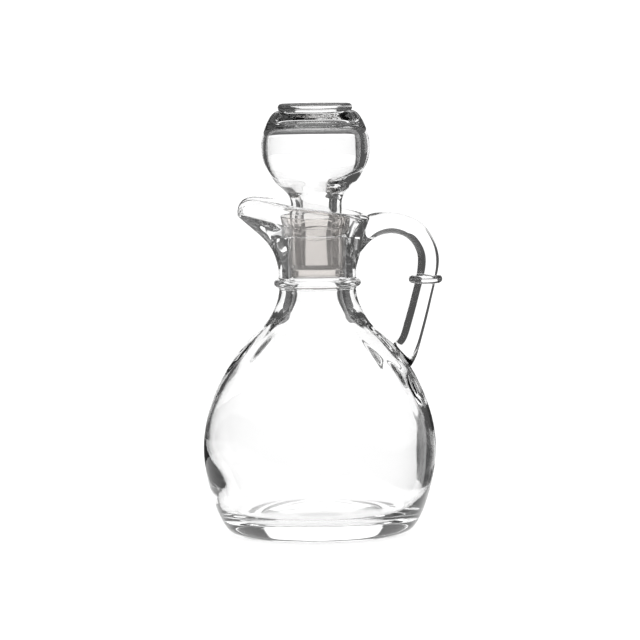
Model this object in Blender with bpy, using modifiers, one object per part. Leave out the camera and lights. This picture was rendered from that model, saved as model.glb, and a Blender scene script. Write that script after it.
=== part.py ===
"""Clear pressed glass cruet with a pouring lip, a side handle and a hollow ball stopper.

The glass vessel is one piece: a pear body, a neck that flares into a pouring lip on -X,
and a loop handle with a collar on +X. The ball stopper stands in a thin plastic sleeve
that sits in the neck. Millimetres are used for the sizes below and metres in the scene.
The base stands on z = 0, and the origin is the middle of the footprint.
"""
import math

import bmesh
import bpy
from mathutils import Vector

MM = 0.001

# The whole cruet
BODY_AXIS_X = -1.4          # turned axis, from the middle of the overall width
GAP = 0.3                   # clearance between pieces that rest on each other

# Turned outside of the body: (radius, height), from the standing ring to the neck bead
STANDING_RING = (26.2, 28.0)
RECESS = [(0.0, 4.8), (6.0, 4.55), (12.0, 3.8), (18.0, 2.5), (23.6, 0.7)]
BODY_OUTSIDE = [
    (28.0, 0.0), (31.3, 1.6), (34.0, 5.0), (36.9, 11.9), (38.8, 18.8), (40.2, 29.5),
    (39.1, 39.5), (35.7, 50.0), (30.3, 60.2), (24.6, 67.1), (20.5, 70.7), (17.5, 74.1),
    (15.4, 77.6), (14.0, 81.0), (13.3, 84.9),
]

# Inside of the body: (radius, height), from the throat under the sleeve to the floor
BODY_INSIDE = [
    (8.75, 86.9), (8.75, 82.0), (10.3, 77.6), (13.3, 74.0), (17.2, 70.3), (21.8, 65.7),
    (27.9, 58.6), (33.6, 48.8), (37.1, 39.0), (38.3, 29.5), (36.8, 18.8), (34.0, 12.0),
    (30.8, 8.1), (26.5, 7.0), (20.0, 8.0), (12.0, 9.3), (6.0, 9.85), (0.0, 10.0),
]

# Neck, bead, rim and pouring lip
BEAD_HEIGHT = 87.1
BEAD_RADIUS = 1.4
BEAD_REACH = 15.1
NECK_RADIUS = 13.5
NECK_FOOT = 88.7
FLARE_START = 92.0
FLARE_WIDENING = 4.9
RIM_MIDDLE = 113.2          # rim height on the axis
RIM_SLOPE = 0.152           # the rim climbs towards the lip
RIM_ROUNDING = 1.5
LIP_PULL = 8.9              # how far the lip leaves the round mouth
LIP_CURVE = 2.2
LIP_HALF_ANGLE = 26.0
LIP_RISE = 0.8              # the lip's sides stand above the slope of the rim
LIP_DROOP = 6.2
DROOP_HALF_ANGLE = 12.0
LEDGE_HEIGHT = 103.2        # seat of the sleeve's flange
LEDGE_RADIUS = 11.9
FUNNEL_WIDENING = 3.0
CHANNEL_START = 1.5
CHANNEL_PULL = 9.0
CHANNEL_CURVE = 0.8
BORE_RADIUS = 10.1
BORE_FLOOR = 88.5
THROAT_EDGE = (9.0, 88.2)

# Handle: its outer and inner edges as seen from the side, (x, height) from the axis
HANDLE_OUTER = [
    (15.9, 109.4), (19.0, 110.7), (23.0, 111.05), (28.0, 110.75), (32.4, 109.4), (36.0, 107.4),
    (38.9, 103.9), (41.2, 99.2), (42.0, 94.1), (41.4, 89.7), (40.0, 84.0), (38.3, 77.0),
    (36.4, 69.8), (34.7, 64.5), (32.3, 59.5), (30.0, 57.5),
]
HANDLE_INNER = [
    (12.6, 94.0), (15.7, 98.1), (19.4, 101.8), (24.1, 103.6), (28.0, 103.4), (31.2, 101.9),
    (33.3, 99.4), (34.5, 96.3), (34.6, 93.2), (34.1, 89.3), (32.9, 84.4), (31.1, 77.8),
    (29.0, 70.6), (27.6, 67.3), (25.6, 65.7), (23.3, 65.2),
]
HANDLE_HALF_DEPTH = 4.0
HANDLE_ROOT_SPREAD = 1.2    # the ends of the handle are a little deeper
COLLAR_CENTRE = (37.25, 87.8)
COLLAR_REACH = 5.85
COLLAR_RADIUS = 1.4

# Stopper: (radius, height)
STEM_FOOT = 92.7
STEM_FOOT_RADIUS = 8.0
STEM_RADIUS = 8.8
STEM_CHAMFER = 0.6
STEM_TAPER_TOP = 106.0
BALL_OUTSIDE = [
    (8.8, 112.5), (9.1, 116.2), (10.6, 118.6), (13.8, 121.6), (16.5, 125.7), (18.3, 129.9),
    (18.85, 133.6), (18.6, 136.6), (17.6, 140.3), (15.9, 143.9), (13.6, 146.2), (12.5, 146.5),
]
BUTTON_RADIUS = 12.9
BUTTON_ROUNDING = 1.4
BUTTON_UNDERCUT = 20.0      # degrees of rounding below the button's widest line
BUTTON_CROWN = 0.2
TOP_HEIGHT = 149.1
STEM_BORE_RADIUS = 4.2
CAVITY_CEILING = 142.4
BALL_INSIDE = [
    (11.0, 142.4), (13.0, 141.9), (14.7, 140.5), (15.9, 137.8), (16.4, 133.6), (16.1, 129.4),
    (15.0, 125.4), (12.6, 121.8), (9.4, 118.6), (6.9, 115.2), (5.2, 111.5), (4.4, 108.0),
]

# Plastic sleeve: (radius, height)
SLEEVE_RADIUS = 9.8
SLEEVE_FOOT = 88.9
SLEEVE_STEP = (92.0, 93.0)
SLEEVE_FOOT_RADIUS = 9.0
SLEEVE_FOOT_BORE = 7.6
SLEEVE_LIP = 92.3
STEM_FOOT_CLEARANCE = 0.4
FLANGE_RADIUS = 11.5
FLANGE_TOP = 106.0
CUP_TOP = 109.9             # a thin cup stands on the flange, round the stem
CUP_WALL = 1.2

# Facets
TURN_STEPS = 36
LIP_STEPS = 8
BODY_LINE_STEPS = 2
BEAD_STEPS = 4
NECK_STEPS = 6
MOUTH_STEPS = 4
RIM_STEPS = 4
STOPPER_STEPS = 32
CAVITY_LINE_STEPS = 2
ROUNDING_STEPS = 3
HANDLE_STEPS = 12
COLLAR_STEPS = (24, 8)
SHARP_ANGLE = 35.0
MERGE_DISTANCE = 0.00001    # metres


def clear_scene():
    for old in list(bpy.data.objects):
        bpy.data.objects.remove(old, do_unlink=True)


def smooth_line(points, steps):
    """Return a curve through the points, with the given number of steps between them."""
    vectors = [Vector(point) for point in points]
    count = len(vectors)
    chords = [max((vectors[i + 1] - vectors[i]).length, 1e-6) for i in range(count - 1)]
    slopes = []
    for i in range(count):
        before = (vectors[i] - vectors[i - 1]) / chords[i - 1] if i else None
        after = (vectors[i + 1] - vectors[i]) / chords[i] if i < count - 1 else None
        if before is None or after is None:
            slopes.append(after if before is None else before)
        else:
            weight = chords[i] / (chords[i - 1] + chords[i])
            slopes.append(before * weight + after * (1 - weight))
    line = []
    for i, chord in enumerate(chords):
        for step in range(steps):
            t = step / steps
            near = (1 + 2 * t) * (1 - t) ** 2
            far = t * t * (3 - 2 * t)
            bend = t * (1 - t) ** 2 * slopes[i] - t * t * (1 - t) * slopes[i + 1]
            line.append(near * vectors[i] + far * vectors[i + 1] + chord * bend)
    line.append(vectors[-1])
    return [tuple(point) for point in line]


def arc(centre, radius, start, end, steps):
    """Return points of a circular arc in degrees, both ends included."""
    points = []
    for step in range(steps + 1):
        angle = math.radians(start + (end - start) * step / steps)
        points.append((centre[0] + radius * math.cos(angle), centre[1] + radius * math.sin(angle)))
    return points


def section_angles():
    """Return the angles round the vessel, with closer ones across the pouring lip."""
    turn = 360.0 / TURN_STEPS
    angles = [turn * step for step in range(TURN_STEPS)]
    middle = TURN_STEPS // 2
    for step in range(-LIP_STEPS // 2, LIP_STEPS // 2):
        angles.append(turn * (middle + step + 0.5))
    return sorted(angles)


def lip_share(angle):
    """Return 1 at the middle of the pouring lip and 0 well away from it."""
    return math.exp(-((angle - 180.0) / LIP_HALF_ANGLE) ** 2)


def rim_top(angle):
    reach = NECK_RADIUS + FLARE_WIDENING + LIP_PULL * lip_share(angle)
    droop = LIP_DROOP * math.exp(-((angle - 180.0) / DROOP_HALF_ANGLE) ** 2)
    slope = RIM_SLOPE * reach * math.cos(math.radians(angle))
    return RIM_MIDDLE - slope + LIP_RISE * lip_share(angle) - droop


def neck_outside(angle, steps):
    """Return the outer line of the neck, from the flare's start to the rim's edge."""
    edge = rim_top(angle) - RIM_ROUNDING
    points = []
    for step in range(steps + 1):
        t = step / steps
        pull = LIP_PULL * t ** LIP_CURVE * lip_share(angle)
        points.append((NECK_RADIUS + FLARE_WIDENING * t + pull, FLARE_START + t * (edge - FLARE_START)))
    return points


def neck_inside(angle, steps):
    """Return the inner line of the mouth, from the rim's edge to the ledge."""
    edge = rim_top(angle) - RIM_ROUNDING
    points = []
    for step in range(steps + 1):
        t = 1 - step / steps
        pull = (CHANNEL_START + CHANNEL_PULL * t ** CHANNEL_CURVE) * lip_share(angle)
        points.append((LEDGE_RADIUS + FUNNEL_WIDENING * t + pull, LEDGE_HEIGHT + t * (edge - LEDGE_HEIGHT)))
    return points


def rim_round(outer, inner):
    """Return the points between the rim's two edges."""
    middle = (outer[0] + inner[0]) / 2
    half = (outer[0] - inner[0]) / 2
    points = []
    for step in range(1, RIM_STEPS):
        angle = math.pi * step / RIM_STEPS
        points.append((middle + half * math.cos(angle), outer[1] + RIM_ROUNDING * math.sin(angle)))
    return points


def vessel_section(angle):
    """Return the closed outline of the glass at one angle, from the base up and back inside."""
    bead = arc((BEAD_REACH - BEAD_RADIUS, BEAD_HEIGHT), BEAD_RADIUS, -90, 90, BEAD_STEPS)
    outer = neck_outside(angle, NECK_STEPS)
    inner = neck_inside(angle, MOUTH_STEPS)
    bore = [(BORE_RADIUS, LEDGE_HEIGHT), (BORE_RADIUS, BORE_FLOOR), THROAT_EDGE]
    return (
        RECESS
        + [(STANDING_RING[0], 0.0)]
        + smooth_line(BODY_OUTSIDE, BODY_LINE_STEPS)
        + bead
        + [(NECK_RADIUS, NECK_FOOT)]
        + outer
        + rim_round(outer[-1], inner[0])
        + inner
        + bore
        + smooth_line(BODY_INSIDE, BODY_LINE_STEPS)
    )


def loft(name, sections, angles):
    """Make a mesh from outlines that start and end on the axis, one for each angle."""
    mesh = bmesh.new()
    foot = mesh.verts.new((0, 0, sections[0][0][1] * MM))
    head = mesh.verts.new((0, 0, sections[0][-1][1] * MM))
    columns = []
    for section, angle in zip(sections, angles):
        turn = math.radians(angle)
        column = [
            mesh.verts.new((r * math.cos(turn) * MM, r * math.sin(turn) * MM, z * MM))
            for r, z in section[1:-1]
        ]
        columns.append(column)
    for i, column in enumerate(columns):
        following = columns[(i + 1) % len(columns)]
        mesh.faces.new((foot, following[0], column[0]))
        for a, b, c, d in zip(column, following, following[1:], column[1:]):
            mesh.faces.new((a, b, c, d))
        mesh.faces.new((column[-1], following[-1], head))
    return finish_mesh(name, mesh)


def handle_rings():
    """Return the rings of points along the handle, from the neck to the shoulder."""
    outer = smooth_line(HANDLE_OUTER, 1)
    inner = smooth_line(HANDLE_INNER, 1)
    last = len(outer) - 1
    rings = []
    for i, (far, near) in enumerate(zip(outer, inner)):
        centre = ((far[0] + near[0]) / 2, (far[1] + near[1]) / 2)
        half = ((far[0] - near[0]) / 2, (far[1] - near[1]) / 2)
        root = math.exp(-min(i, last - i))
        depth = HANDLE_HALF_DEPTH + HANDLE_ROOT_SPREAD * root
        ring = []
        for step in range(HANDLE_STEPS):
            turn = 2 * math.pi * step / HANDLE_STEPS
            across = math.cos(turn)
            ring.append((
                centre[0] + half[0] * across,
                depth * math.sin(turn),
                centre[1] + half[1] * across,
            ))
        rings.append(ring)
    return rings


def make_handle():
    mesh = bmesh.new()
    rings = [[mesh.verts.new(Vector(p) * MM) for p in ring] for ring in handle_rings()]
    for ring, following in zip(rings, rings[1:]):
        for i in range(len(ring)):
            j = (i + 1) % len(ring)
            mesh.faces.new((ring[i], ring[j], following[j], following[i]))
    mesh.faces.new(list(reversed(rings[0])))
    mesh.faces.new(rings[-1])
    return finish_mesh("handle", mesh)


def make_collar():
    """Make the round collar on the handle."""
    bpy.ops.mesh.primitive_torus_add(
        major_radius=(COLLAR_REACH - COLLAR_RADIUS) * MM,
        minor_radius=COLLAR_RADIUS * MM,
        major_segments=COLLAR_STEPS[0],
        minor_segments=COLLAR_STEPS[1],
        location=(COLLAR_CENTRE[0] * MM, 0, COLLAR_CENTRE[1] * MM),
    )
    collar = bpy.context.object
    collar.name = "collar"
    return collar


def finish_mesh(name, mesh):
    """Turn a bmesh into an object whose faces point out."""
    bmesh.ops.recalc_face_normals(mesh, faces=mesh.faces)
    data = bpy.data.meshes.new(name)
    mesh.to_mesh(data)
    mesh.free()
    item = bpy.data.objects.new(name, data)
    bpy.context.scene.collection.objects.link(item)
    return item


def join_pieces(target, pieces):
    """Fuse the pieces onto the target and remove them."""
    for piece in pieces:
        union = target.modifiers.new("fuse " + piece.name, "BOOLEAN")
        union.operation = "UNION"
        union.solver = "EXACT"
        union.object = piece
    graph = bpy.context.evaluated_depsgraph_get()
    joined = bpy.data.meshes.new_from_object(target.evaluated_get(graph))
    target.modifiers.clear()
    target.data = joined
    for piece in pieces:
        bpy.data.objects.remove(piece, do_unlink=True)


def make_vessel():
    """Make the one-piece glass vessel with its handle."""
    angles = section_angles()
    vessel = loft("glass_body", [vessel_section(angle) for angle in angles], angles)
    join_pieces(vessel, [make_handle(), make_collar()])
    return vessel


def stopper_profile():
    """Return the stopper's outline from its hollow, over the bore's mouth, to the top."""
    hollow = [(0.0, CAVITY_CEILING)] + smooth_line(BALL_INSIDE, CAVITY_LINE_STEPS)
    stem = [
        (STEM_BORE_RADIUS, STEM_TAPER_TOP),
        (STEM_BORE_RADIUS, STEM_FOOT + STEM_CHAMFER),
        (STEM_BORE_RADIUS + STEM_CHAMFER, STEM_FOOT),
        (STEM_FOOT_RADIUS - STEM_CHAMFER, STEM_FOOT),
        (STEM_FOOT_RADIUS, STEM_FOOT + STEM_CHAMFER),
        (STEM_RADIUS, STEM_TAPER_TOP),
    ]
    corner = (BUTTON_RADIUS - BUTTON_ROUNDING, TOP_HEIGHT - BUTTON_CROWN - BUTTON_ROUNDING)
    button = arc(corner, BUTTON_ROUNDING, -BUTTON_UNDERCUT, 90, ROUNDING_STEPS)
    return hollow + stem + smooth_line(BALL_OUTSIDE, 1) + button + [(0.0, TOP_HEIGHT)]


def sleeve_profile():
    """Return the sleeve's outline as a loop: up the inside and down the outside."""
    top_bore = STEM_RADIUS + GAP
    foot_bore = STEM_FOOT_RADIUS + STEM_FOOT_CLEARANCE
    return [
        (SLEEVE_FOOT_BORE, SLEEVE_FOOT),
        (SLEEVE_FOOT_BORE, SLEEVE_LIP),
        (foot_bore, SLEEVE_LIP),
        (top_bore, FLANGE_TOP),
        (FLANGE_RADIUS - CUP_WALL, FLANGE_TOP),
        (FLANGE_RADIUS - CUP_WALL, CUP_TOP),
        (FLANGE_RADIUS, CUP_TOP),
        (FLANGE_RADIUS, LEDGE_HEIGHT + GAP),
        (SLEEVE_RADIUS, LEDGE_HEIGHT + GAP),
        (SLEEVE_RADIUS, SLEEVE_STEP[1]),
        (SLEEVE_FOOT_RADIUS, SLEEVE_STEP[0]),
        (SLEEVE_FOOT_RADIUS, SLEEVE_FOOT),
    ]


def turned(name, profile, closed):
    """Spin an outline round the axis with a Screw modifier and apply it."""
    data = bpy.data.meshes.new(name)
    points = [(r * MM, 0, z * MM) for r, z in profile]
    edges = [(i, i + 1) for i in range(len(points) - 1)]
    if closed:
        edges.append((len(points) - 1, 0))
    data.from_pydata(points, edges, [])
    item = bpy.data.objects.new(name, data)
    bpy.context.scene.collection.objects.link(item)
    screw = item.modifiers.new("turn", "SCREW")
    screw.steps = STOPPER_STEPS
    screw.render_steps = STOPPER_STEPS
    screw.use_merge_vertices = True
    screw.merge_threshold = MERGE_DISTANCE
    graph = bpy.context.evaluated_depsgraph_get()
    spun = bpy.data.meshes.new_from_object(item.evaluated_get(graph))
    item.modifiers.clear()
    item.data = spun
    mesh = bmesh.new()
    mesh.from_mesh(spun)
    bmesh.ops.recalc_face_normals(mesh, faces=mesh.faces)
    mesh.to_mesh(spun)
    mesh.free()
    return item


def make_material(name, color, roughness, transmission, ior):
    material = bpy.data.materials.new(name)
    material.use_nodes = True
    shader = material.node_tree.nodes["Principled BSDF"]
    shader.inputs["Base Color"].default_value = (*color, 1.0)
    shader.inputs["Roughness"].default_value = roughness
    shader.inputs["Metallic"].default_value = 0.0
    shader.inputs["Transmission Weight"].default_value = transmission
    shader.inputs["IOR"].default_value = ior
    return material


def dress(item, material, home, frame):
    """Give the piece its finish, its collection and its place on the turned axis."""
    item.data.materials.clear()
    item.data.materials.append(material)
    item.data.shade_smooth()
    item.data.set_sharp_from_angle(angle=math.radians(SHARP_ANGLE))
    for old in list(item.users_collection):
        old.objects.unlink(item)
    home.objects.link(item)
    item.parent = frame


def main():
    clear_scene()
    home = bpy.data.collections.new("oil_and_vinegar_cruet")
    bpy.context.scene.collection.children.link(home)
    frame = bpy.data.objects.new("turned_axis", None)
    frame.location.x = BODY_AXIS_X * MM
    home.objects.link(frame)
    glass = make_material("clear glass", (0.97, 0.98, 0.98), 0.02, 1.0, 1.52)
    plastic = make_material("milky plastic", (0.80, 0.78, 0.76), 0.35, 0.5, 1.5)
    dress(make_vessel(), glass, home, frame)
    dress(turned("stopper", stopper_profile(), False), glass, home, frame)
    dress(turned("stopper_sleeve", sleeve_profile(), True), plastic, home, frame)


main()
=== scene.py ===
# Clear pressed glass cruet with a hollow ball stopper: looks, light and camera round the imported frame.
import math

import bmesh
import bpy
import numpy as np
from mathutils import Matrix, Vector, noise


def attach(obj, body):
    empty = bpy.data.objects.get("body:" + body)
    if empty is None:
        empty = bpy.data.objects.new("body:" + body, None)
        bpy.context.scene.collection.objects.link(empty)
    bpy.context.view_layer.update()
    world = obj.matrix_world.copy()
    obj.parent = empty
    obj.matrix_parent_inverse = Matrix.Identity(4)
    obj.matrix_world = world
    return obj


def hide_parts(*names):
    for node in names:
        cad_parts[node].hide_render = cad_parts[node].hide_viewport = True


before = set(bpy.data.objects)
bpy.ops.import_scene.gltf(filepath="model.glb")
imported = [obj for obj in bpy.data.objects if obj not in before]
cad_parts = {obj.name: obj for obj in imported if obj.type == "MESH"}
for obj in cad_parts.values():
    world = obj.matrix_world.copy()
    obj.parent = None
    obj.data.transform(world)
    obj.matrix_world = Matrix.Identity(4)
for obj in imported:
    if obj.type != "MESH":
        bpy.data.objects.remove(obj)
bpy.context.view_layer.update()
mm = 0.001
axisX = -1.4  # the turned axis, from the middle of the footprint, in mm
gap = 0.3  # clearance between pieces that rest on each other
sharpFrom = 40  # edges of the glass stay sharp from this many degrees


# Helpers: outlines are in mm, meshes in metres.

def smoothLine(points, steps):
    # natural cubic spline through the points, by chord length
    points = np.array(points, dtype=float)
    chords = np.maximum(np.linalg.norm(np.diff(points, axis=0), axis=1), 1e-6)
    count = len(points)
    matrix = np.eye(count)
    right = np.zeros_like(points)
    for i in range(1, count - 1):
        matrix[i, i - 1:i + 2] = chords[i - 1], 2 * (chords[i - 1] + chords[i]), chords[i]
        slopeAfter = (points[i + 1] - points[i]) / chords[i]
        slopeBefore = (points[i] - points[i - 1]) / chords[i - 1]
        right[i] = 6 * (slopeAfter - slopeBefore)
    bend = np.linalg.solve(matrix, right)
    line = []
    for i, chord in enumerate(chords):
        for step in range(steps):
            after = step / steps
            before = 1 - after
            cubic = (before ** 3 - before) * bend[i] + (after ** 3 - after) * bend[i + 1]
            cubic = cubic * chord * chord / 6
            line.append(tuple(before * points[i] + after * points[i + 1] + cubic))
    line.append(tuple(points[-1]))
    return line


def arc(centre, radius, start, end, steps):
    angles = np.radians(np.linspace(start, end, steps + 1))
    return [(centre[0] + radius * math.cos(a), centre[1] + radius * math.sin(a)) for a in angles]


def bell(value, middle, width):
    return math.exp(-((value - middle) / width) ** 2)


def turnFrom(angle, middle):
    # degrees from the middle to the angle, the short way round
    return (angle - middle + 180) % 360 - 180


def finishMesh(name, mesh):
    bmesh.ops.recalc_face_normals(mesh, faces=mesh.faces)
    data = bpy.data.meshes.new(name)
    mesh.to_mesh(data)
    mesh.free()
    piece = bpy.data.objects.new(name, data)
    bpy.context.scene.collection.objects.link(piece)
    return piece


def loft(name, sections, angles):
    # one outline for each angle, each starting and ending on the axis
    mesh = bmesh.new()
    foot = mesh.verts.new((axisX * mm, 0, sections[0][0][1] * mm))
    head = mesh.verts.new((axisX * mm, 0, sections[0][-1][1] * mm))
    start = Vector((axisX, 0, 0))
    columns = []
    for section, angle in zip(sections, angles):
        turn = math.radians(angle)
        across = Vector((math.cos(turn), math.sin(turn), 0))
        places = [start + across * r + Vector((0, 0, z)) for r, z in section[1:-1]]
        columns.append([mesh.verts.new(place * mm) for place in places])
    for i, column in enumerate(columns):
        following = columns[(i + 1) % len(columns)]
        mesh.faces.new((foot, following[0], column[0]))
        for corners in zip(column, following, following[1:], column[1:]):
            mesh.faces.new(corners)
        mesh.faces.new((column[-1], following[-1], head))
    return finishMesh(name, mesh)


def ringLoft(name, rings):
    # a capped tube through rings of points
    mesh = bmesh.new()
    rows = [[mesh.verts.new((Vector(p) + Vector((axisX, 0, 0))) * mm) for p in ring] for ring in rings]
    for row, following in zip(rows, rows[1:]):
        for i in range(len(row)):
            j = (i + 1) % len(row)
            mesh.faces.new((row[i], row[j], following[j], following[i]))
    mesh.faces.new(list(reversed(rows[0])))
    mesh.faces.new(rows[-1])
    return finishMesh(name, mesh)


def fuse(target, pieces):
    # one skin out of several solids
    for piece in pieces:
        union = target.modifiers.new("fuse " + piece.name, "BOOLEAN")
        union.operation = "UNION"
        union.solver = "EXACT"
        union.object = piece
    graph = bpy.context.evaluated_depsgraph_get()
    joined = bpy.data.meshes.new_from_object(target.evaluated_get(graph))
    target.modifiers.clear()
    target.data = joined
    for piece in pieces:
        bpy.data.objects.remove(piece, do_unlink=True)


def shadeSmooth(piece, angle):
    piece.data.shade_smooth()
    piece.data.set_sharp_from_angle(angle=math.radians(angle))


def standIn(piece, material, node):
    # the piece takes the place of a node of the frame
    piece.data.materials.clear()
    piece.data.materials.append(material)
    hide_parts(node)
    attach(piece, "root")


# Glass vessel: pear body, neck, pouring lip, handle and collar in one piece.

vessel = {
    "recess": [(0.0, 4.8), (6.0, 4.55), (12.0, 3.8), (18.0, 2.5), (23.6, 0.7)],
    "standingRing": 26.2,
    "outside": [
        (28.0, 0.0), (31.3, 1.6), (34.0, 5.0), (36.9, 11.9), (38.8, 18.8), (40.2, 29.5),
        (39.1, 39.5), (35.7, 50.0), (30.3, 60.2), (24.6, 67.1), (20.5, 70.7), (17.5, 74.1),
        (15.4, 77.6), (14.0, 81.0), (13.3, 84.9),
    ],
    "inside": [
        (8.75, 86.9), (8.75, 82.0), (10.3, 77.6), (13.3, 74.0), (17.2, 70.3), (21.8, 65.7),
        (27.9, 58.6), (33.6, 48.8), (37.1, 39.0), (38.3, 29.5), (36.8, 18.8), (34.0, 12.0),
        (30.8, 8.1), (26.5, 7.0), (20.0, 8.0), (12.0, 9.3), (6.0, 9.85), (0.0, 10.0),
    ],
    "beadHeight": 87.1,
    "beadRadius": 1.4,
    "beadReach": 15.1,
    "neckRadius": 13.5,
    "neckFoot": 88.7,
    "flareStart": 92.0,
    "flareWidening": 4.9,
    "rimMiddle": 113.2,
    "rimSlope": 0.152,
    "rimRounding": 1.5,
    "rimTilt": 9.0,  # how far the sloping rim reaches out at the lip, in mm
    "lipPull": 16.5,
    "lipCurve": 3.0,
    "lipHeight": 110.4,  # the outward pull levels off from about here up
    "lipSpread": 18.0,
    "lipTip": 11.0,
    "lipRise": 0.8,
    "lipDroop": 6.2,
    "droopHalfAngle": 12.0,
    "ledgeHeight": 103.8,
    "ledgeRadius": 11.9,
    "funnelWidening": 3.0,
    "channelStart": 1.2,
    "channelPull": 14.5,
    "channelCurve": 2.3,
    "boreRadius": 10.1,
    "boreFloor": 88.5,
    "throatEdge": 9.0,
    "turnSteps": 180,
    "lipHalfAngle": 45,  # closer steps within this many degrees of the lip
    "curveSteps": 7,
    "recessSteps": 4,
    "flareSteps": 40,
    "funnelSteps": 24,
    "rimSteps": 12,
    "beadSteps": 16,
    "waviness": 0.24,  # how uneven the blown inside is, in mm
    "waves": (1.6, 26.0),  # a larger first value gives more round the glass, the second is in mm of height
    "fineWaves": (4.5, 9.0),
    "evenAbove": 80.0,  # the inside runs true from this height up
    "easing": 12.0,  # over this many mm the unevenness fades out
    "pools": [  # extra glass on the inside: angle, half angle, height, half height, thickness
        (0.0, 100.0, 27.0, 13.0, 1.2),
        (180.0, 70.0, 17.0, 9.0, 1.9),
        (180.0, 70.0, 48.0, 20.0, -0.75),
    ],
    "ripples": [  # finer unevenness: angle, half angle, height, half height, thickness
        (0.0, 60.0, 57.0, 13.0, 1.5),
        (180.0, 50.0, 66.0, 7.0, 1.5),
    ],
}

handle = {
    "outer": [
        (15.9, 109.4), (19.0, 110.7), (23.0, 111.05), (28.0, 110.75), (32.4, 109.4), (36.0, 107.4),
        (38.9, 103.9), (41.2, 99.2), (42.0, 94.1), (41.4, 89.7), (40.0, 84.0), (38.3, 77.0),
        (36.4, 69.8), (34.9, 64.5), (33.3, 60.0), (31.4, 56.9),
    ],
    "inner": [
        (12.6, 94.0), (15.7, 98.1), (19.4, 101.8), (24.1, 103.6), (28.0, 103.4), (31.2, 101.9),
        (33.3, 99.4), (34.5, 96.3), (34.6, 93.2), (34.1, 89.3), (32.9, 84.4), (31.1, 77.8),
        (29.0, 70.6), (27.6, 67.3), (25.6, 65.7), (23.3, 65.2),
    ],
    "halfDepth": 4.0,
    "rootSpread": 1.2,
    "collarCentre": (37.25, 87.8),
    "collarReach": 5.85,
    "collarRadius": 1.4,
    "collarSteps": (64, 24),  # round the ring, and round its section
    "stepsBetween": 8,
    "ringSteps": 48,
}


def lipShare(angle):
    # tight along the middle of the lip, easing slowly into the round mouth
    away = turnFrom(angle, 180)
    tip = vessel["lipTip"]
    return math.exp(-(math.hypot(away, tip) - tip) / vessel["lipSpread"])


def tiltedRim(angle):
    # the plane that the rim lies in, before the lip is pulled down
    reach = vessel["neckRadius"] + vessel["flareWidening"] + vessel["rimTilt"] * lipShare(angle)
    slope = vessel["rimSlope"] * reach * math.cos(math.radians(angle))
    return vessel["rimMiddle"] - vessel["rimRounding"] - slope


def rimEdge(angle):
    droop = vessel["lipDroop"] * bell(turnFrom(angle, 180), 0, vessel["droopHalfAngle"])
    return tiltedRim(angle) + vessel["lipRise"] * lipShare(angle) - droop


def levelled(share, curve):
    # rises as a power, then levels off towards 1
    share = max(0.0, share)
    return share ** curve / (1 + share ** 4) ** (curve / 4)


def neckOutside(angle, steps):
    # the surface goes by height alone, so the drooping rim only cuts it shorter
    foot = vessel["flareStart"]
    points = []
    for z in np.linspace(foot, rimEdge(angle), steps + 1):
        flare = vessel["flareWidening"] * (z - foot) / (tiltedRim(angle) - foot)
        pull = vessel["lipPull"] * levelled((z - foot) / (vessel["lipHeight"] - foot), vessel["lipCurve"])
        points.append((vessel["neckRadius"] + flare + pull * lipShare(angle), z))
    return points


def mouthInside(angle, steps):
    ledge = vessel["ledgeHeight"]
    points = []
    for z in np.linspace(rimEdge(angle), ledge, steps + 1):
        funnel = vessel["funnelWidening"] * (z - ledge) / (tiltedRim(angle) - ledge)
        share = (z - ledge) / (vessel["lipHeight"] - ledge)
        pull = vessel["channelStart"] + vessel["channelPull"] * levelled(share, vessel["channelCurve"])
        r = vessel["ledgeRadius"] + funnel + pull * lipShare(angle)
        points.append((r, z))
    return points


def rimRound(outer, inner, steps):
    middle = (outer[0] + inner[0]) / 2
    half = (outer[0] - inner[0]) / 2
    angles = np.radians(np.linspace(0, 180, steps + 1))[1:-1]
    return [(middle + half * math.cos(a), outer[1] + vessel["rimRounding"] * math.sin(a)) for a in angles]


def wallNoise(angle, height, waves):
    turn = math.radians(angle)
    around, tall = waves
    return noise.noise(Vector((math.cos(turn) * around, math.sin(turn) * around, height / tall)))


def patches(angle, height, spots):
    total = 0
    for middle, width, level, reach, thickness in spots:
        total += thickness * bell(turnFrom(angle, middle), 0, width) * bell(height, level, reach)
    return total


def wallDrift(angle, height):
    # extra glass on the inside, in mm: slow waves, pools at two sides and ripples
    drift = vessel["waviness"] * wallNoise(angle, height, vessel["waves"])
    drift += patches(angle, height, vessel["pools"])
    return drift + wallNoise(angle, height, vessel["fineWaves"]) * patches(angle, height, vessel["ripples"])


def unevenInside(angle):
    easing = vessel["easing"]
    points = []
    for r, z in smoothLine(vessel["inside"], vessel["curveSteps"]):
        share = min(1, r / easing) * min(1, max(0, (vessel["evenAbove"] - z) / easing))
        points.append((r - wallDrift(angle, z) * share, z))
    return points


def vesselSection(angle):
    # from the middle of the foot up the outside, over the rim and down to the middle of the floor
    beadCentre = (vessel["beadReach"] - vessel["beadRadius"], vessel["beadHeight"])
    outer = neckOutside(angle, vessel["flareSteps"])
    inner = mouthInside(angle, vessel["funnelSteps"])
    bore = [
        (vessel["boreRadius"], vessel["ledgeHeight"]),
        (vessel["boreRadius"], (vessel["ledgeHeight"] + vessel["boreFloor"]) / 2),
        (vessel["boreRadius"], vessel["boreFloor"]),
        (vessel["throatEdge"], vessel["boreFloor"] - gap),
    ]
    return (
        smoothLine(vessel["recess"], vessel["recessSteps"])
        + [(vessel["standingRing"], 0.0)]
        + smoothLine(vessel["outside"], vessel["curveSteps"])
        + arc(beadCentre, vessel["beadRadius"], -90, 90, vessel["beadSteps"])
        + [(vessel["neckRadius"], vessel["neckFoot"])]
        + outer
        + rimRound(outer[-1], inner[0], vessel["rimSteps"])
        + inner
        + bore
        + unevenInside(angle)
    )


def vesselAngles():
    turn = 360 / vessel["turnSteps"]
    angles = [turn * step for step in range(vessel["turnSteps"])]
    angles += [a + turn / 2 for a in angles if abs(a + turn / 2 - 180) < vessel["lipHalfAngle"]]
    return sorted(angles)


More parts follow.
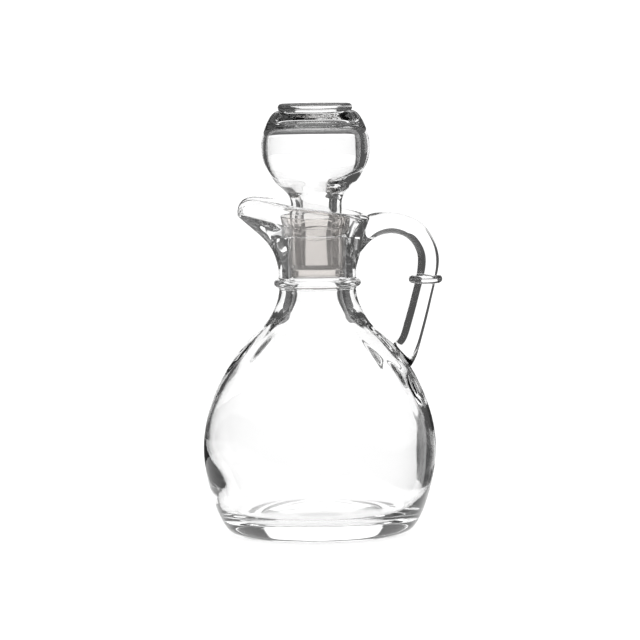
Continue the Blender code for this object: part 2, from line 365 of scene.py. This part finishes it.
def handleRings():
    outer = smoothLine(handle["outer"], handle["stepsBetween"])
    inner = smoothLine(handle["inner"], handle["stepsBetween"])
    last = len(outer) - 1
    turns = np.linspace(0, 2 * math.pi, handle["ringSteps"], endpoint=False)
    rings = []
    for i, (far, near) in enumerate(zip(outer, inner)):
        centre = ((far[0] + near[0]) / 2, (far[1] + near[1]) / 2)
        half = ((far[0] - near[0]) / 2, (far[1] - near[1]) / 2)
        nearRoot = math.exp(-min(i, last - i) / handle["stepsBetween"])
        depth = handle["halfDepth"] + handle["rootSpread"] * nearRoot
        rings.append([
            (centre[0] + half[0] * math.cos(a), depth * math.sin(a), centre[1] + half[1] * math.cos(a))
            for a in turns
        ])
    return rings


def makeCollar():
    bpy.ops.mesh.primitive_torus_add(
        major_radius=(handle["collarReach"] - handle["collarRadius"]) * mm,
        minor_radius=handle["collarRadius"] * mm,
        major_segments=handle["collarSteps"][0],
        minor_segments=handle["collarSteps"][1],
        location=((handle["collarCentre"][0] + axisX) * mm, 0, handle["collarCentre"][1] * mm),
    )
    collar = bpy.context.object
    collar.name = "collar"
    return collar


def makeVessel(material):
    angles = vesselAngles()
    body = loft("cruetGlass", [vesselSection(a) for a in angles], angles)
    fuse(body, [ringLoft("handleTube", handleRings()), makeCollar()])
    shadeSmooth(body, sharpFrom)
    standIn(body, material, "glass_body")
    print("vessel", len(body.data.polygons), "faces")
    return body


# Hollow ball stopper.

stopper = {
    "stemFoot": 92.7,
    "stemFootRadius": 8.0,
    "stemRadius": 8.8,
    "stemTaperTop": 106.0,
    "ball": [
        (8.8, 112.5), (9.1, 116.2), (10.6, 118.6), (13.8, 121.6), (16.5, 125.7), (18.3, 129.9),
        (18.85, 133.6), (18.6, 136.6), (17.6, 140.3), (15.9, 143.9), (13.6, 146.2), (12.5, 146.5),
    ],
    "buttonRadius": 12.9,
    "buttonRounding": 1.4,
    "topHeight": 149.1,
    "ceiling": 142.9,
    "hollow": [  # from the flat ceiling down to the foot of the stem
        (8.0, 142.8), (11.6, 142.2), (14.3, 140.8), (15.8, 138.3), (16.4, 134.8), (16.1, 130.4),
        (14.9, 126.6), (12.9, 123.8), (10.4, 121.7), (8.2, 120.1), (6.7, 118.6), (5.9, 117.0),
        (5.55, 115.0), (5.5, 111.0), (5.5, 97.0),
    ],
    "boreRadius": 5.5,
    "hollowShift": 0.5,  # the blown hollow sits off the middle, more so low in the ball
    "hollowSag": 0.8,
    "sagHeight": 121.0,
    "sagHalfHeight": 4.0,
    "driftEasing": 2.0,  # the hollow drifts fully from this far outside the bore, in mm
    "stemEdge": 0.6,
    "buttonCrown": 0.2,
    "buttonUndercut": 20,  # degrees of rounding below the button's widest line
    "hollowSteps": 6,
    "ballSteps": 8,
    "buttonSteps": 12,
    "turnSteps": 160,
}


def hollowDrift(angle, r, height):
    share = min(1, max(0, (r - stopper["boreRadius"]) / stopper["driftEasing"]))
    sag = bell(height, stopper["sagHeight"], stopper["sagHalfHeight"])
    aside = stopper["hollowShift"] + stopper["hollowSag"] * sag
    return -aside * share * math.cos(math.radians(angle))


def stopperProfile(angle):
    # from the ceiling of the hollow down the bore, round the stem's foot and up over the ball
    hollow = smoothLine(stopper["hollow"], stopper["hollowSteps"])
    hollow = [(r + hollowDrift(angle, r, z), z) for r, z in hollow]
    stem = [
        (stopper["boreRadius"], stopper["stemFoot"] + stopper["stemEdge"]),
        (stopper["boreRadius"] + stopper["stemEdge"], stopper["stemFoot"]),
        (stopper["stemFootRadius"] - stopper["stemEdge"], stopper["stemFoot"]),
        (stopper["stemFootRadius"], stopper["stemFoot"] + stopper["stemEdge"]),
        (stopper["stemRadius"], stopper["stemTaperTop"]),
    ]
    corner = (
        stopper["buttonRadius"] - stopper["buttonRounding"],
        stopper["topHeight"] - stopper["buttonCrown"] - stopper["buttonRounding"],
    )
    return (
        [(0.0, stopper["ceiling"])]
        + hollow
        + stem
        + smoothLine(stopper["ball"], stopper["ballSteps"])
        + arc(corner, stopper["buttonRounding"], -stopper["buttonUndercut"], 90, stopper["buttonSteps"])
        + [(0.0, stopper["topHeight"])]
    )


def makeStopper(material):
    turns = np.linspace(0, 360, stopper["turnSteps"], endpoint=False)
    piece = loft("ballStopper", [stopperProfile(turn) for turn in turns], turns)
    shadeSmooth(piece, sharpFrom)
    standIn(piece, material, "stopper")
    print("stopper", len(piece.data.polygons), "faces")
    return piece


# Milky plastic sleeve.

sleeve = {
    "radius": 9.8,
    "foot": 89.3,
    "stepLow": 93.1,
    "stepHigh": 94.2,
    "footRadius": 9.0,
    "footBore": 7.6,
    "innerLip": 92.3,
    "flangeRadius": 11.5,
    "flangeTop": 106.5,
    "cupTop": 109.9,
    "cupWall": 1.2,
    "edge": 0.25,
    "footSlack": 0.4,  # between the stem's foot and the narrow foot of the sleeve
    "turnSteps": 128,
    "sharpFrom": 30,
}


def sleeveProfile():
    topBore = stopper["stemRadius"] + gap
    footBore = stopper["stemFootRadius"] + sleeve["footSlack"]
    flangeFoot = vessel["ledgeHeight"] + gap
    return [
        (sleeve["footBore"], sleeve["foot"] + sleeve["edge"]),
        (sleeve["footBore"], sleeve["innerLip"]),
        (footBore, sleeve["innerLip"]),
        (topBore, sleeve["flangeTop"] - sleeve["edge"]),
        (topBore + sleeve["edge"], sleeve["flangeTop"]),
        (sleeve["flangeRadius"] - sleeve["cupWall"] - sleeve["edge"], sleeve["flangeTop"]),
        (sleeve["flangeRadius"] - sleeve["cupWall"], sleeve["cupTop"] - sleeve["edge"]),
        (sleeve["flangeRadius"] - sleeve["cupWall"] + sleeve["edge"], sleeve["cupTop"]),
        (sleeve["flangeRadius"] - sleeve["edge"], sleeve["cupTop"]),
        (sleeve["flangeRadius"], sleeve["cupTop"] - sleeve["edge"]),
        (sleeve["flangeRadius"], flangeFoot + sleeve["edge"]),
        (sleeve["flangeRadius"] - sleeve["edge"], flangeFoot),
        (sleeve["radius"], flangeFoot),
        (sleeve["radius"], sleeve["stepHigh"]),
        (sleeve["footRadius"], sleeve["stepLow"]),
        (sleeve["footRadius"], sleeve["foot"] + sleeve["edge"]),
        (sleeve["footRadius"] - sleeve["edge"], sleeve["foot"]),
        (sleeve["footBore"] + sleeve["edge"], sleeve["foot"]),
    ]


def makeSleeve(milky, clear):
    mesh = bmesh.new()
    profile = sleeveProfile()
    turns = np.radians(np.linspace(0, 360, sleeve["turnSteps"], endpoint=False))
    rows = [
        [mesh.verts.new(((axisX + r * math.cos(a)) * mm, r * math.sin(a) * mm, z * mm)) for r, z in profile]
        for a in turns
    ]
    for i, row in enumerate(rows):
        following = rows[(i + 1) % len(rows)]
        for j in range(len(profile)):
            k = (j + 1) % len(profile)
            mesh.faces.new((row[j], following[j], following[k], row[k]))
    piece = finishMesh("milkySleeve", mesh)
    shadeSmooth(piece, sleeve["sharpFrom"])
    standIn(piece, milky, "stopper_sleeve")
    piece.data.materials.append(clear)
    cupFoot = vessel["ledgeHeight"] * mm
    for face in piece.data.polygons:
        if face.center.z > cupFoot:
            face.material_index = 1  # the thin cup lets more light through
    print("sleeve", len(piece.data.polygons), "faces")
    return piece


# Materials.

def startMaterial(name):
    material = bpy.data.materials.new(name)
    material.use_nodes = True
    return material, material.node_tree.nodes["Principled BSDF"]


surfaceNoise = {
    "detail": 2.0,
    "smearFrom": 0.45,  # the noise below this leaves the surface smooth
    "smearTo": 0.75,
}


def makeSurfaceGroup():
    # slow waves and a fine grain for a bump, and a faint smear that changes the roughness
    group = bpy.data.node_groups.new("handledSurface", "ShaderNodeTree")
    for name in ["Wave Scale", "Grain Scale", "Grain Share", "Smear Scale", "Smooth", "Rough"]:
        group.interface.new_socket(name=name, in_out="INPUT", socket_type="NodeSocketFloat")
    for name in ["Height", "Roughness"]:
        group.interface.new_socket(name=name, in_out="OUTPUT", socket_type="NodeSocketFloat")
    nodes, links = group.nodes, group.links
    given = nodes.new("NodeGroupInput")
    result = nodes.new("NodeGroupOutput")
    coordinates = nodes.new("ShaderNodeTexCoord")
    noises = {}
    for part in ["Wave", "Grain", "Smear"]:
        noises[part] = nodes.new("ShaderNodeTexNoise")
        noises[part].inputs["Detail"].default_value = surfaceNoise["detail"]
        links.new(coordinates.outputs["Object"], noises[part].inputs["Vector"])
        links.new(given.outputs[part + " Scale"], noises[part].inputs["Scale"])
    height = nodes.new("ShaderNodeMath")
    height.operation = "MULTIPLY_ADD"
    links.new(noises["Grain"].outputs["Fac"], height.inputs[0])
    links.new(given.outputs["Grain Share"], height.inputs[1])
    links.new(noises["Wave"].outputs["Fac"], height.inputs[2])
    spread = nodes.new("ShaderNodeMapRange")
    spread.inputs["From Min"].default_value = surfaceNoise["smearFrom"]
    spread.inputs["From Max"].default_value = surfaceNoise["smearTo"]
    links.new(noises["Smear"].outputs["Fac"], spread.inputs["Value"])
    links.new(given.outputs["Smooth"], spread.inputs["To Min"])
    links.new(given.outputs["Rough"], spread.inputs["To Max"])
    links.new(height.outputs[0], result.inputs["Height"])
    links.new(spread.outputs["Result"], result.inputs["Roughness"])
    return group


def addSurface(material, group, values, depth):
    # the shared surface drives the roughness, and the normal through a bump of this depth in mm
    nodes, links = material.node_tree.nodes, material.node_tree.links
    shader = nodes["Principled BSDF"]
    surface = nodes.new("ShaderNodeGroup")
    surface.node_tree = group
    for name, value in values.items():
        surface.inputs[name].default_value = value
    relief = nodes.new("ShaderNodeBump")
    relief.inputs["Strength"].default_value = 1.0
    relief.inputs["Distance"].default_value = depth * mm
    links.new(surface.outputs["Height"], relief.inputs["Height"])
    links.new(relief.outputs["Normal"], shader.inputs["Normal"])
    links.new(surface.outputs["Roughness"], shader.inputs["Roughness"])


glassLook = {
    "refraction": 1.52,
    "reliefDepth": 0.03,  # in mm
    "surface": {  # scales for each metre
        "Wave Scale": 90.0,
        "Grain Scale": 500.0,
        "Grain Share": 0.05,
        "Smear Scale": 60.0,
        "Smooth": 0.0,
        "Rough": 0.012,
    },
}

plasticLook = {
    "color": (1.0, 0.975, 0.955, 1),
    "refraction": 1.5,
    "sleeveMilk": 0.13,  # share of the light that the plastic scatters
    "cupMilk": 0.01,
    "reliefDepth": 0.02,
    "surface": {
        "Wave Scale": 160.0,
        "Grain Scale": 1500.0,
        "Grain Share": 0.25,
        "Smear Scale": 220.0,
    },
    "sleeveRoughness": (0.06, 0.16),  # smooth places and smeared ones
    "cupRoughness": (0.01, 0.05),
}


def makeGlass(group):
    material, shader = startMaterial("clearPressedGlass")
    shader.inputs["Base Color"].default_value = (1, 1, 1, 1)
    shader.inputs["Transmission Weight"].default_value = 1.0
    shader.inputs["IOR"].default_value = glassLook["refraction"]
    shader.inputs["Metallic"].default_value = 0.0
    addSurface(material, group, glassLook["surface"], glassLook["reliefDepth"])
    return material


def makePlastic(name, group, milk, roughness):
    material, shader = startMaterial(name)
    shader.inputs["Base Color"].default_value = plasticLook["color"]
    shader.inputs["Transmission Weight"].default_value = 1 - milk
    shader.inputs["IOR"].default_value = plasticLook["refraction"]
    shader.inputs["Metallic"].default_value = 0.0
    surface = dict(plasticLook["surface"], Smooth=roughness[0], Rough=roughness[1])
    addSurface(material, group, surface, plasticLook["reliefDepth"])
    return material


# Studio: white floor and even white sky, and a dark tent with one bright window.
# The tent only shows in and through the glass and the plastic, and it turns with the camera.

studio = {
    "floorSize": 40.0,  # in metres
    "floorDrop": 0.2,  # the floor lies this far below the foot, in mm
    "skyStrength": 1.4,
    "floorGlow": 1.18,
    "floorWhite": 0.28,  # share of the floor's white that the sky lights; the rest glows evenly
    "windowDistance": 175.0,  # the bright window behind the object, in mm
    "windowLeft": -75.0,
    "windowRight": 66.0,
    "windowTop": 152.0,
    "wallFoot": -5.0,
    "tableFront": -90.0,  # the white table ends here towards the camera
    "tentReach": 720.0,
    "tentSteps": (16, 25),  # rings from front to back, and points along each
    "edgeFade": 5.0,
    "tableLift": 0.1,
    "sideDark": 0.93,  # how much of the white sky the black cloth takes away
    "tableLeftDark": 0.35,  # the same for the table's left side
    "roofDark": 0.88,
    "frontDark": 0.94,
}

view = {
    "distance": 2200.0,
    "elevation": 4.7,
    "roll": 0.84,
    "target": (-0.71, 0.0, 74.1),
    "frameWidth": 220.8,  # what the picture shows from side to side at the target, in mm
    "sensorWidth": 36,
    "near": 0.05,  # in metres
    "far": 60,
}


def makeFloor():
    bpy.ops.mesh.primitive_plane_add(size=studio["floorSize"], location=(0, 0, -studio["floorDrop"] * mm))
    floor = bpy.context.object
    floor.name = "floor"
    material, shader = startMaterial("whiteTable")
    lit = studio["floorWhite"]
    shader.inputs["Base Color"].default_value = (lit, lit, lit, 1)
    shader.inputs["Roughness"].default_value = 1.0
    shader.inputs["Specular IOR Level"].default_value = 0.0
    shader.inputs["Emission Color"].default_value = (1, 1, 1, 1)
    shader.inputs["Emission Strength"].default_value = studio["floorGlow"] - lit * studio["skyStrength"]
    floor.data.materials.append(material)
    print("floor and its glow")


def makeSky():
    world = bpy.data.worlds.new("whiteSky")
    bpy.context.scene.world = world
    world.use_nodes = True
    background = world.node_tree.nodes["Background"]
    background.inputs["Color"].default_value = (1, 1, 1, 1)
    background.inputs["Strength"].default_value = studio["skyStrength"]
    print("sky", studio["skyStrength"])


def cardMaterial():
    # black cloth, as strong at each corner of the mesh as its attribute says
    material, shader = startMaterial("blackCard")
    nodes, links = material.node_tree.nodes, material.node_tree.links
    shader.inputs["Base Color"].default_value = (0.0, 0.0, 0.0, 1)
    shader.inputs["Roughness"].default_value = 1.0
    shader.inputs["Specular IOR Level"].default_value = 0.0
    strength = nodes.new("ShaderNodeAttribute")
    strength.attribute_name = "cardStrength"
    path = nodes.new("ShaderNodeLightPath")
    beforeDull = nodes.new("ShaderNodeMath")
    beforeDull.operation = "LESS_THAN"
    beforeDull.inputs[1].default_value = 0.5  # light that has not met a dull surface yet
    share = nodes.new("ShaderNodeMath")
    share.operation = "MULTIPLY"
    links.new(path.outputs["Diffuse Depth"], beforeDull.inputs[0])
    links.new(beforeDull.outputs[0], share.inputs[0])
    links.new(strength.outputs["Fac"], share.inputs[1])
    links.new(share.outputs[0], shader.inputs["Alpha"])
    return material


def makeCard(name, rows, rig, material):
    # rows of (point in mm, strength)
    mesh = bmesh.new()
    layer = mesh.verts.layers.float.new("cardStrength")
    made = []
    for row in rows:
        line = []
        for point, strength in row:
            vert = mesh.verts.new(Vector(point) * mm)
            vert[layer] = strength
            line.append(vert)
        made.append(line)
    for low, high in zip(made, made[1:]):
        for i in range(len(low) - 1):
            mesh.faces.new((low[i], low[i + 1], high[i + 1], high[i]))
    card = finishMesh(name, mesh)
    card.data.materials.append(material)
    card.parent = rig
    card.visible_camera = False
    card.visible_diffuse = False
    card.visible_shadow = False


def makeRig(camera):
    # turns to the camera, so the glass has dark edges from every side
    rig = bpy.data.objects.new("tentRig", None)
    bpy.context.scene.collection.objects.link(rig)
    rig.location = (axisX * mm, 0, 0)
    follow = rig.constraints.new("LOCKED_TRACK")
    follow.target = camera
    follow.track_axis = "TRACK_NEGATIVE_Y"
    follow.lock_axis = "LOCK_Z"
    return rig


def acrossSteps(leftDark):
    # cloth to the left and the right of the window, as (x, strength)
    rightDark = studio["sideDark"]
    return [
        (-studio["tentReach"], leftDark),
        (studio["windowLeft"] - studio["edgeFade"], leftDark),
        (studio["windowLeft"], 0.0),
        (studio["windowRight"], 0.0),
        (studio["windowRight"] + studio["edgeFade"], rightDark),
        (studio["tentReach"], rightDark),
    ]


def wallRows():
    # the wall that the window is in
    upSteps = [
        (studio["wallFoot"], 0.0),
        (studio["windowTop"], 0.0),
        (studio["windowTop"] + studio["edgeFade"], studio["roofDark"]),
        (studio["tentReach"], studio["roofDark"]),
    ]
    across = acrossSteps(studio["sideDark"])
    y = studio["windowDistance"]
    return [[((x, y, z), max(side, top)) for x, side in across] for z, top in upSteps]


def tableRows():
    # the cloth on the table, in front of its white part and beside it
    depthSteps = [
        (-studio["tentReach"], studio["frontDark"]),
        (studio["tableFront"] - studio["edgeFade"], studio["frontDark"]),
        (studio["tableFront"], 0.0),
        (studio["windowDistance"], 0.0),
    ]
    across = acrossSteps(studio["tableLeftDark"])
    z = studio["tableLift"]
    return [[((x, y, z), max(side, front)) for x, side in across] for y, front in depthSteps]


def domeRows():
    # a dome over the front, as far back as the window wall
    reach = studio["tentReach"]
    rings, points = studio["tentSteps"]
    turns = np.linspace(0, math.pi, points)
    rows = []
    for lean in np.linspace(0, math.acos(-studio["windowDistance"] / reach), rings):
        radius = reach * math.sin(lean)
        y = -reach * math.cos(lean)
        rows.append([((radius * math.cos(a), y, radius * math.sin(a)), studio["frontDark"]) for a in turns])
    return rows


def makeTent(camera):
    rig = makeRig(camera)
    material = cardMaterial()
    makeCard("windowWall", wallRows(), rig, material)
    makeCard("tableEdges", tableRows(), rig, material)
    makeCard("tentFront", domeRows(), rig, material)
    print("tent turned to", camera.name)


def makeCamera():
    data = bpy.data.cameras.new("camera")
    camera = bpy.data.objects.new("camera", data)
    bpy.context.scene.collection.objects.link(camera)
    bpy.context.scene.camera = camera
    data.sensor_width = view["sensorWidth"]
    data.lens = data.sensor_width * view["distance"] / view["frameWidth"]
    data.clip_start = view["near"]
    data.clip_end = view["far"]
    tilt = math.radians(view["elevation"])
    target = Vector(view["target"]) * mm
    back = Vector((0, -math.cos(tilt), math.sin(tilt)))
    camera.location = target + back * view["distance"] * mm
    look = (-back).to_track_quat("-Z", "Y").to_matrix().to_4x4()
    roll = Matrix.Rotation(-math.radians(view["roll"]), 4, "Z")
    camera.rotation_euler = (look @ roll).to_euler()
    print("camera at", [round(value, 3) for value in camera.location])
    return camera


print("frame", list(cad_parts))
surfaceGroup = makeSurfaceGroup()
glass = makeGlass(surfaceGroup)
milky = makePlastic(
    "milkyPolyethylene", surfaceGroup, plasticLook["sleeveMilk"], plasticLook["sleeveRoughness"])
clear = makePlastic(
    "thinPolyethylene", surfaceGroup, plasticLook["cupMilk"], plasticLook["cupRoughness"])
print("materials", glass.name, milky.name, clear.name)
makeVessel(glass)
makeStopper(glass)
makeSleeve(milky, clear)
camera = makeCamera()
makeFloor()
makeSky()
makeTent(camera)

bpy.context.scene.view_settings.view_transform = "Standard"
bounces = bpy.context.scene.cycles
bounces.max_bounces = 32  # light crosses many walls of glass
bounces.transmission_bounces = 28
bounces.glossy_bounces = 16
bounces.diffuse_bounces = 4
bounces.transparent_max_bounces = 16

bpy.context.view_layer.update()
